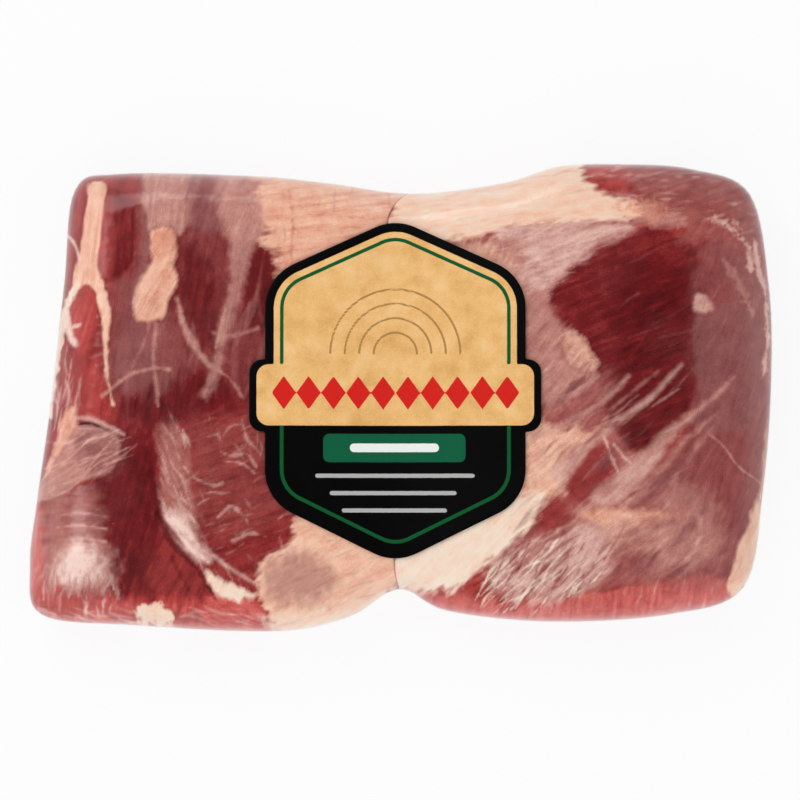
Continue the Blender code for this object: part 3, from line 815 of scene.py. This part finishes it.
wet_meat = bpy.data.materials.new("raw_lamb")
wet_meat.use_nodes = True
tree = wet_meat.node_tree
tree.nodes.clear()
place = add(tree, "TexCoord").outputs["Object"]
layers = {
    name: add(tree, "Attribute", attribute_name=name).outputs["Fac"]
    for name in MEAT_LAYERS
}
turn = add(tree, "Math", {0: layers["fibre_angle"], 1: 90.0}, operation="ADD").outputs[0]
turn = add(tree, "Math", {0: turn}, operation="RADIANS").outputs[0]
bend = add(tree, "TexNoise", {"Vector": place, "Scale": 150.0, "Detail": 2.0}).outputs["Color"]
bent = add(
    tree, "VectorMath", {0: bend, 1: (0.003, 0.003, 0.0), 2: place}, operation="MULTIPLY_ADD"
).outputs[0]
fibre = add(tree, "TexGabor", {
    "Vector": bent, "Scale": 330.0, "Frequency": 3.4, "Anisotropy": 0.9, "Orientation": turn,
}, gabor_type="2D").outputs["Value"]
mottle = add(
    tree, "TexNoise", {"Vector": place, "Scale": 170.0, "Detail": 6.0, "Roughness": 0.65}
).outputs["Fac"]
speckle = add(
    tree, "TexNoise", {"Vector": place, "Scale": 1100.0, "Detail": 3.0, "Roughness": 0.6}
).outputs["Fac"]
cloud = add(tree, "TexNoise", {"Vector": place, "Scale": 45.0, "Detail": 4.0}).outputs["Fac"]
vein = add(tree, "TexNoise", {
    "Vector": place, "Scale": 260.0, "Detail": 3.0, "Distortion": 1.2, "Lacunarity": 2.2, "Offset": 0.9,
    "Gain": 1.4,
}, noise_type="RIDGED_MULTIFRACTAL").outputs["Fac"]
veins = add(tree, "MapRange", {"Value": vein, "From Min": 1.3, "From Max": 2.4}).outputs[0]
veins = add(tree, "Math", {0: veins, 1: cloud}, operation="MULTIPLY").outputs[0]
# every tissue's tone wanders a little: along its fibres, in blots, and in fine specks
stray = add(tree, "Math", {0: mottle, 1: 0.5, 2: -0.25}, operation="MULTIPLY_ADD").outputs[0]
stray = add(tree, "Math", {0: speckle, 1: 0.25, 2: stray}, operation="MULTIPLY_ADD").outputs[0]
stray = add(tree, "Math", {0: stray, 1: -0.125}, operation="ADD").outputs[0]
stray = add(tree, "Math", {0: layers["grain"], 1: 0.09, 2: stray}, operation="MULTIPLY_ADD").outputs[0]
along = add(tree, "Math", {0: fibre, 1: 0.15, 2: -0.075}, operation="MULTIPLY_ADD").outputs[0]
along = add(tree, "Math", {0: along, 1: stray}, operation="ADD").outputs[0]
lean_value = add(tree, "Math", {0: along, 1: layers["lean_tone"]}, operation="ADD").outputs[0]
fat_value = add(tree, "Math", {0: along, 1: layers["fat_tone"]}, operation="ADD").outputs[0]
skin_value = add(
    tree, "Math", {0: along, 1: 0.65, 2: layers["skin_tone"]}, operation="MULTIPLY_ADD"
).outputs[0]
lean_colour = add(tree, "ValToRGB", {0: lean_value}, LEAN).outputs["Color"]
fat_colour = add(tree, "ValToRGB", {0: fat_value}, FAT).outputs["Color"]
skin_colour = add(tree, "ValToRGB", {0: skin_value}, SKIN).outputs["Color"]
fat_edge = add(tree, "Math", {0: along, 1: -0.6, 2: layers["fat"]}, operation="MULTIPLY_ADD").outputs[0]
fat_cover = add(tree, "MapRange", {"Value": fat_edge, "From Min": 0.12, "From Max": 0.9}).outputs[0]
skin_break = add(tree, "Math", {0: along, 1: -0.8, 2: 1.0}, operation="MULTIPLY_ADD").outputs[0]
skin_cover = add(
    tree, "Math", {0: layers["skin"], 1: skin_break}, operation="MULTIPLY", use_clamp=True
).outputs[0]
over_lean = add(tree, "Mix", {0: fat_cover, 6: lean_colour, 7: fat_colour}, data_type="RGBA").outputs[2]
surface = add(tree, "Mix", {0: skin_cover, 6: over_lean, 7: skin_colour}, data_type="RGBA").outputs[2]
vein_cover = add(tree, "Math", {0: veins, 1: 0.18}, operation="MULTIPLY", use_clamp=True).outputs[0]
surface = add(tree, "Mix", {0: vein_cover, 6: surface, 7: linear("#F2C6B8")}, data_type="RGBA").outputs[2]
roughness = add(
    tree, "MapRange", {"Value": cloud, "From Min": 0.3, "From Max": 0.7, "To Min": 0.35, "To Max": 0.6}
)
bump = add(tree, "Bump", {"Height": along, "Strength": 0.25, "Distance": 0.0006})
shader = add(tree, "BsdfPrincipled", {
    "Base Color": surface, "Roughness": roughness.outputs[0], "Normal": bump.outputs[0], "IOR": 1.38,
    "Specular IOR Level": 0.12, "Subsurface Weight": 0.15, "Subsurface Radius": (1.0, 0.3, 0.2),
    "Subsurface Scale": 0.002,
})
add(tree, "OutputMaterial", {"Surface": shader.outputs[0]})

sides = [RIGHT_SIDE, FAR_END, LEFT_SIDE, NEAR_END]
knots = [p for side in sides for p in side[:-1]]
bag_loop = smooth_curve(knots, closed=True)
shift = (bag_loop.min(axis=0) + bag_loop.max(axis=0)) / 2 - np.add(*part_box("sealed_bag"))[:2] / 2 / MM
meat_loop = inset(bag_loop, RACK_INSET)
seam_line = smooth_curve(RACK_SEAM)
corner = [np.argmin(np.hypot(*(bag_loop - side[0]).T)) for side in sides]
far_bay = np.argmin(np.hypot(*(bag_loop - (5, 86.5)).T))
near_bay = np.argmin(np.hypot(*(bag_loop - (-1, -80.5)).T))
right_far = np.vstack([meat_loop[corner[1] : far_bay], seam_line[-1:]])
left_far = np.vstack([seam_line[-1:], meat_loop[far_bay + 1 : corner[2] + 1]])
left_side = meat_loop[corner[2] : corner[3] + 1]
left_near = np.vstack([meat_loop[corner[3] : near_bay], seam_line[:1]])
right_near = np.vstack([seam_line[:1], meat_loop[near_bay + 1 :], meat_loop[:1]])
right_side = meat_loop[corner[0] : corner[1] + 1]
rack_left = make_rack(
    "rack_left", seam_line, left_far, left_side, left_near, left_rack_tissues, 75, (SIDE_EDGE, SEAM_EDGE)
)
rack_right = make_rack(
    "rack_right", right_side, right_far, seam_line[::-1], right_near, right_rack_tissues, 30,
    (SEAM_EDGE, SIDE_EDGE)
)
for rack in (rack_left, rack_right):
    rack.data.materials.append(wet_meat)
    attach(rack, "root")

# ---------------------------------------------------------------------------------------------------
# The shrink bag: one tube of clear film some 0.05 mm thick, shrunk on in hot water after the air is
# drawn out, so it clings to every muscle and bridges the narrow creases in fine straight wrinkles.
# ---------------------------------------------------------------------------------------------------
BAG_CELLS = (352, 224)
FILM_GAP = 0.3
FILM_BRIDGE = 0.35  # further off, as it spans the fine relief of the meat

s = rim_shares(BAG_CELLS[0], 300.0, (SIDE_EDGE, SIDE_EDGE))
t = rim_shares(BAG_CELLS[1], 180.0, (END_EDGE, END_EDGE))
side_lines = [
    np.vstack([bag_loop, bag_loop[:1]])[a : b + 1] for a, b in zip(corner, corner[1:] + [len(bag_loop)])
]
plan = fill_outline(*side_lines, s, t)
edge = nearest_on_line(plan, bag_loop, closed=True)[0]
wall = quarter_round(edge, WALL_ROUND)
film = Meat(plan, 0, relief_only=True)
left_rack_tissues(film)
right_rack_tissues(film)
wrinkle = 0.06 * fibre_noise(plan, 10, 30, 2.2, 300, 2)
front = front_height(plan, edge) + (film.relief - RACK_DEPTH + FILM_GAP + FILM_BRIDGE + wrinkle) * wall
back = back_height(plan, edge)
bag_film = closed_skin("bag_film", np.dstack([plan, front]), np.dstack([plan, back]))[0]

clear_film = bpy.data.materials.new("clear_shrink_film")
clear_film.use_nodes = True
tree = clear_film.node_tree
tree.nodes.clear()
place = add(tree, "TexCoord").outputs["Object"]
cling = add(tree, "TexNoise", {"Vector": place, "Scale": 40.0, "Detail": 4.0}).outputs["Fac"]
haze = add(
    tree, "MapRange", {"Value": cling, "From Min": 0.45, "From Max": 0.75, "To Min": 0.0, "To Max": 0.012}
)
# its mirror share grows from 4% face on to all of it edge on, the same from either side of so thin a sheet
facing = add(tree, "LayerWeight", {"Blend": 0.5}).outputs["Facing"]
grazing = add(tree, "Math", {0: facing, 1: 5.0}, operation="POWER").outputs[0]
mirror = add(tree, "Math", {0: grazing, 1: 0.96, 2: 0.04}, operation="MULTIPLY_ADD").outputs[0]
nothing = add(tree, "BsdfTransparent")
crinkle = add(tree, "TexNoise", {
    "Vector": place, "Scale": 130.0, "Detail": 4.0, "Distortion": 1.5, "Lacunarity": 2.1, "Offset": 0.9,
    "Gain": 1.2,
}, noise_type="RIDGED_MULTIFRACTAL").outputs["Fac"]
crinkled = add(tree, "Bump", {"Height": crinkle, "Strength": 0.12, "Distance": 0.0004}).outputs[0]
gloss = add(tree, "BsdfAnisotropic", {"Color": linear("#FFFFFF"), "Roughness": 0.16, "Normal": crinkled})
milk = add(tree, "BsdfDiffuse", {"Color": linear("#F4ECEC")})
clear = add(tree, "MixShader", {0: mirror, 1: nothing.outputs[0], 2: gloss.outputs[0]})
hazy = add(tree, "MixShader", {0: haze.outputs[0], 1: clear.outputs[0], 2: milk.outputs[0]})
add(tree, "OutputMaterial", {"Surface": hazy.outputs[0]})
bag_film.data.materials.append(clear_film)
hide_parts("sealed_bag")
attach(bag_film, "root")

# ---------------------------------------------------------------------------------------------------
# The label: coated paper, printed and die-cut to a tall six-sided plaque with a wider band across it,
# stuck on the bag and bent a little into the valley between the racks.
# ---------------------------------------------------------------------------------------------------
LABEL_MIDDLE = (-2.6, 2.0)
LABEL_HALF_WIDTH = 54.0
LABEL_POINT_HEIGHTS = (72.2, -71.6)
LABEL_SHOULDERS = (47.5, -45.0)
LABEL_CORNER = 20.0
BAND_HALF_WIDTH = 60.5
BAND_HEIGHTS = (-16.8, 13.2)
BAND_CORNER = 6.5
LABEL_THICKNESS = 0.25
LABEL_LIFT = 0.3
LABEL_RINGS = 80
LABEL_SPOKES = 480
BLACK_MARGIN = 3.6  # black border round the kraft panel
BAND_MARGIN = 3.0
LINE_PLACE = 6.9  # middle of the thin green line, in from the plaque's edge
LINE_WIDTH = 1.5
DARK_FIELD_TOP = -14.2  # below it the plaque is black inside its border as well
RED_ROW = (-54.0, 49.0, -5.6, 8.4)  # left, right, bottom and top of the row of red shapes
RED_COUNT = 10
GREEN_BAR = (-32.5, 26.5, -27.4, -15.6)
WHITE_BAR = (-21.5, 15.5, -23.2, -19.6)
GREY_BARS = [(-35.0, 29.5, -33.0), (-29.0, 22.0, -40.2), (-24.0, 18.0, -47.4)]  # left, right, middle height
GREY_BAR_WIDTH = 1.7
RING_RADII = (9.0, 15.0, 21.0, 27.0)  # plain half rings on the kraft panel


def rounded_shape(corners, radii, steps=12):
    """A polygon with each corner replaced by an arc of its own radius, which touches both of its sides."""
    corners = np.array(corners, float)
    pieces = []
    for before, corner, after, radius in zip(
        np.roll(corners, 1, axis=0), corners, np.roll(corners, -1, axis=0), radii
    ):
        to_before = (before - corner) / np.hypot(*(before - corner))
        to_after = (after - corner) / np.hypot(*(after - corner))
        half = np.arccos(np.clip(to_before @ to_after, -1, 1)) / 2
        centre = corner + (to_before + to_after) / np.hypot(*(to_before + to_after)) * radius / np.sin(half)
        first = corner + to_before * radius / np.tan(half) - centre
        last = corner + to_after * radius / np.tan(half) - centre
        share = np.linspace(0, 1, steps)[:, None]
        chord = (1 - share) * first + share * last
        pieces.append(centre + chord * radius / np.hypot(*chord.T)[:, None])
    return np.vstack(pieces)


def plaque_shape(shrink, radius):
    """The plaque's six sides, moved in by shrink."""
    top, bottom = LABEL_POINT_HEIGHTS[0] - shrink * 1.13, LABEL_POINT_HEIGHTS[1] + shrink * 1.13
    half = LABEL_HALF_WIDTH - shrink
    shoulder, hip = LABEL_SHOULDERS[0] - shrink * 0.64, LABEL_SHOULDERS[1] + shrink * 0.64
    corners = [(0, bottom), (half, hip), (half, shoulder), (0, top), (-half, shoulder), (-half, hip)]
    return rounded_shape(corners, [radius] * 6) + LABEL_MIDDLE


def box_shape(left, right, low, high, radius):
    """A rectangle with rounded corners."""
    return rounded_shape([(left, low), (right, low), (right, high), (left, high)], [radius] * 4)


def depth_in(plan, loop):
    """Distance to a closed outline, positive inside it."""
    distance = nearest_on_line(plan, loop, closed=True)[0]
    return np.where(inside_outline(plan.reshape(-1, 2), loop).reshape(distance.shape), distance, -distance)


# outline of the paper: the plaque's sides, with the band's ends stepping out of the upright ones
half, wide = LABEL_HALF_WIDTH, BAND_HALF_WIDTH
low, high = BAND_HEIGHTS
hip, shoulder = LABEL_SHOULDERS[1], LABEL_SHOULDERS[0]
corners = [
    (0, LABEL_POINT_HEIGHTS[1]), (half, hip), (half, low), (wide, low), (wide, high), (half, high),
    (half, shoulder), (0, LABEL_POINT_HEIGHTS[0]), (-half, shoulder), (-half, high), (-wide, high),
    (-wide, low), (-half, low), (-half, hip),
]
tight, step = 0.6, BAND_CORNER - 1.0
radii = [LABEL_CORNER, LABEL_CORNER, tight, step, step, tight, LABEL_CORNER] * 2
paper_edge = rounded_shape(corners, radii)
paper_edge = resample(
    np.vstack([paper_edge, paper_edge[:1]]), np.linspace(0, 1, LABEL_SPOKES, endpoint=False)
)
ring = np.linspace(0, 1, LABEL_RINGS + 1)[1:, None, None]
plan = ring * paper_edge + LABEL_MIDDLE
plan = np.vstack([np.array(LABEL_MIDDLE)[None], plan.reshape(-1, 2)])
height = front_height(plan, nearest_on_line(plan, bag_loop, closed=True)[0]) + LABEL_LIFT
points = np.column_stack([plan - shift, height]) * MM
number = 1 + np.arange(LABEL_RINGS * LABEL_SPOKES).reshape(LABEL_RINGS, LABEL_SPOKES)
after = np.roll(number, -1, axis=1)
faces = np.stack([number[:-1], number[1:], after[1:], after[:-1]], axis=-1).reshape(-1, 4).tolist()
faces += np.stack([np.zeros(LABEL_SPOKES, int), number[0], after[0]], axis=-1).tolist()
label_mesh = bpy.data.meshes.new("label_sheet")
label_mesh.from_pydata(points.tolist(), [], faces)
label_mesh.shade_smooth()
label_sheet = bpy.data.objects.new("label_sheet", label_mesh)
bpy.context.collection.objects.link(label_sheet)
thickness = label_sheet.modifiers.new("paper", "SOLIDIFY")
thickness.thickness = LABEL_THICKNESS * MM
thickness.offset = -1

# depth of each point inside every printed field, in mm; the material draws a field where it is positive
kraft_panel = np.minimum(
    depth_in(plan, plaque_shape(BLACK_MARGIN, LABEL_CORNER - BLACK_MARGIN)), plan[:, 1] - 10
)
band = (
    LABEL_MIDDLE[0] - wide + BAND_MARGIN, LABEL_MIDDLE[0] + wide - BAND_MARGIN, DARK_FIELD_TOP + 2.0, 13.2
)
kraft_band = depth_in(plan, box_shape(*band, BAND_CORNER - 1.5))
green_line = LINE_WIDTH / 2 - abs(depth_in(plan, plaque_shape(0, LABEL_CORNER)) - LINE_PLACE)
green_line = np.minimum(green_line, -kraft_band)
left, right, low, high = RED_ROW
pitch = (right - left) / RED_COUNT
across = (plan[:, 0] - left) / pitch
from_middle = abs(across - np.floor(across) - 0.5) * pitch
up = abs(plan[:, 1] - (low + high) / 2)
red_row = (1 - from_middle / (pitch * 0.49) - up / ((high - low) / 2)) * pitch * 0.4
red_row = np.where((across > 0) & (across < RED_COUNT), red_row, -1)
green_bar = depth_in(plan, box_shape(*GREEN_BAR, 2.5))
white_bar = depth_in(plan, box_shape(*WHITE_BAR, 1.7))
grey_bars = np.full(len(plan), -9.0)
for left, right, middle in GREY_BARS:
    reach = np.maximum(np.maximum(left - plan[:, 0], plan[:, 0] - right), 0)
    grey_bars = np.maximum(grey_bars, GREY_BAR_WIDTH / 2 - np.hypot(reach, plan[:, 1] - middle))
from_centre = np.hypot(plan[:, 0] - LABEL_MIDDLE[0], plan[:, 1] - 17.5)
rings = np.max([0.45 - abs(from_centre - radius) for radius in RING_RADII], axis=0)
rings = np.minimum(rings, plan[:, 1] - 17.5)
fields = {
    "kraft": np.maximum(kraft_panel, kraft_band), "rings": rings, "green_line": green_line, "red": red_row,
    "green_bar": green_bar, "white": white_bar, "grey": grey_bars, "upper": plan[:, 1],
}
for name, depth in fields.items():
    attribute = label_mesh.attributes.new(name, "FLOAT", "POINT")
    attribute.data.foreach_set("value", depth.astype(np.float32))

printed_paper = bpy.data.materials.new("printed_coated_paper")
printed_paper.use_nodes = True
tree = printed_paper.node_tree
tree.nodes.clear()
place = add(tree, "TexCoord").outputs["Object"]
pulp = add(tree, "TexNoise", {"Vector": place, "Scale": 1500.0, "Detail": 3.0}).outputs["Fac"]
cloud = add(tree, "TexNoise", {"Vector": place, "Scale": 120.0, "Detail": 4.0}).outputs["Fac"]
worn = add(
    tree, "TexNoise", {"Vector": place, "Scale": 420.0, "Detail": 4.0, "Roughness": 0.7}
).outputs["Fac"]
fibres = add(tree, "Math", {0: pulp, 1: 0.5, 2: cloud}, operation="MULTIPLY_ADD").outputs[0]
kraft = add(
    tree, "ValToRGB", {0: fibres}, [(0.45, "#DCA562"), (0.75, "#EFBC78"), (1.0, "#F5CA8E")]
).outputs["Color"]
PRINT = [
    ("kraft", kraft), ("rings", "#B5854C"), ("green_line", "#0B5A2E"), ("red", "#D8231C"),
    ("green_bar", "#0C5F40"), ("white", "#F2F2EE"), ("grey", "#B4B4B2"),
]
ink = linear("#040404")
for name, colour in PRINT:
    depth = add(tree, "Attribute", attribute_name=name).outputs["Fac"]
    worn_depth = add(tree, "Math", {0: worn, 1: 0.25, 2: depth}, operation="MULTIPLY_ADD").outputs[0]
    cover = add(tree, "MapRange", {"Value": worn_depth, "From Min": 0.05, "From Max": 0.2}).outputs[0]
    colour = linear(colour) if isinstance(colour, str) else colour
    ink = add(tree, "Mix", {0: cover, 6: ink, 7: colour}, data_type="RGBA").outputs[2]
gloss = add(tree, "MapRange", {"Value": cloud, "To Min": 0.42, "To Max": 0.58}).outputs[0]
bump = add(tree, "Bump", {"Height": pulp, "Strength": 0.1, "Distance": 0.0002}).outputs[0]
shader = add(tree, "BsdfPrincipled", {
    "Base Color": ink, "Roughness": gloss, "Normal": bump, "IOR": 1.45, "Specular IOR Level": 0.1,
})
add(tree, "OutputMaterial", {"Surface": shader.outputs[0]})
label_mesh.materials.append(printed_paper)
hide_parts("label")
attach(label_sheet, "root")

# ---------------------------------------------------------------------------------------------------
# The studio: a white painted table under the pack, with cloth-fronted lamps above and beside it. The large
# one gives the film its broad soft shine, and the others only light the meat. The camera looks almost
# straight down through a long lens.
# ---------------------------------------------------------------------------------------------------
floor_mesh = bpy.data.meshes.new("studio_floor")
floor_mesh.from_pydata([(-3, -3, 0), (3, -3, 0), (3, 3, 0), (-3, 3, 0)], [], [(0, 1, 2, 3)])
floor = bpy.data.objects.new("studio_floor", floor_mesh)
bpy.context.collection.objects.link(floor)
paper = bpy.data.materials.new("white_backdrop_paper")
paper.use_nodes = True
tree = paper.node_tree
tree.nodes.clear()
rays = add(tree, "LightPath")
seen = add(
    tree, "Math", {0: rays.outputs["Is Camera Ray"], 1: rays.outputs["Is Glossy Ray"]}, operation="MAXIMUM"
)
seen = add(tree, "Math", {0: seen.outputs[0], 1: rays.outputs["Is Transmission Ray"]}, operation="MAXIMUM")
matt = add(tree, "BsdfDiffuse", {"Color": linear("#F2F2F2")})
white = add(tree, "Emission", {"Color": linear("#FFFFFF"), "Strength": 1.0})
share = add(tree, "Math", {0: seen.outputs[0], 1: 0.9}, operation="MULTIPLY")
both = add(tree, "MixShader", {0: share.outputs[0], 1: matt.outputs[0], 2: white.outputs[0]})
add(tree, "OutputMaterial", {"Surface": both.outputs[0]})
floor_mesh.materials.append(paper)

world = bpy.data.worlds.new("studio")
bpy.context.scene.world = world
world.use_nodes = True
tree = world.node_tree
tree.nodes.clear()
rays = add(tree, "LightPath")
heading = add(tree, "SeparateXYZ", {0: add(tree, "TexCoord").outputs["Generated"]}).outputs["Z"]
tent = add(
    tree, "MapRange", {"Value": heading, "From Min": 0.1, "From Max": 0.8, "To Min": 1.0, "To Max": 0.06}
)
dim = add(tree, "Background", {"Color": linear("#FFFFFF"), "Strength": tent.outputs[0]})
bright = add(tree, "Background", {"Color": linear("#FFFFFF"), "Strength": 1.0})
both = add(tree, "MixShader", {0: rays.outputs["Is Camera Ray"], 1: dim.outputs[0], 2: bright.outputs[0]})
add(tree, "OutputWorld", {"Surface": both.outputs[0]})


def softbox(name, place, target, size, power, mirrored=True):
    """A white area lamp turned to face a point, seen in the gloss of the film or only lighting it."""
    lamp = bpy.data.lights.new(name, "AREA")
    lamp.shape = "RECTANGLE"
    lamp.size, lamp.size_y = size
    lamp.energy = power
    item = bpy.data.objects.new(name, lamp)
    item.visible_glossy = mirrored
    item.location = place
    item.rotation_euler = (Vector(target) - Vector(place)).to_track_quat("-Z", "Y").to_euler()
    bpy.context.collection.objects.link(item)


softbox("key_softbox", (-0.55, 0.62, 0.95), (0, 0, 0.02), (1.0, 0.8), 6.0)
softbox("overhead_softbox", (0, -0.15, 1.3), (0, 0, 0.02), (1.2, 1.2), 4.2, mirrored=False)
softbox("fill_softbox", (0.75, -0.45, 1.0), (0, 0, 0.02), (0.7, 0.6), 2.7, mirrored=False)
softbox("near_strip", (-0.35, -0.8, 0.8), (0, 0, 0.02), (0.9, 0.25), 2.2, mirrored=False)

VIEW_WIDTH = 0.3342
LENS = 200.0
SENSOR = 36.0
ELEVATION = 88.0
camera_data = bpy.data.cameras.new("camera")
camera_data.lens = LENS
camera_data.sensor_width = SENSOR
camera = bpy.data.objects.new("camera", camera_data)
middle = Vector((-0.0004, -0.0014, 0.028))
tilt = np.radians(ELEVATION)
distance = VIEW_WIDTH * LENS / SENSOR
camera.location = middle + distance * Vector((0, -np.cos(tilt), np.sin(tilt)))
camera.rotation_euler = (middle - camera.location).to_track_quat("-Z", "Y").to_euler()
bpy.context.collection.objects.link(camera)
bpy.context.scene.camera = camera
bpy.context.scene.view_settings.view_transform = "Standard"
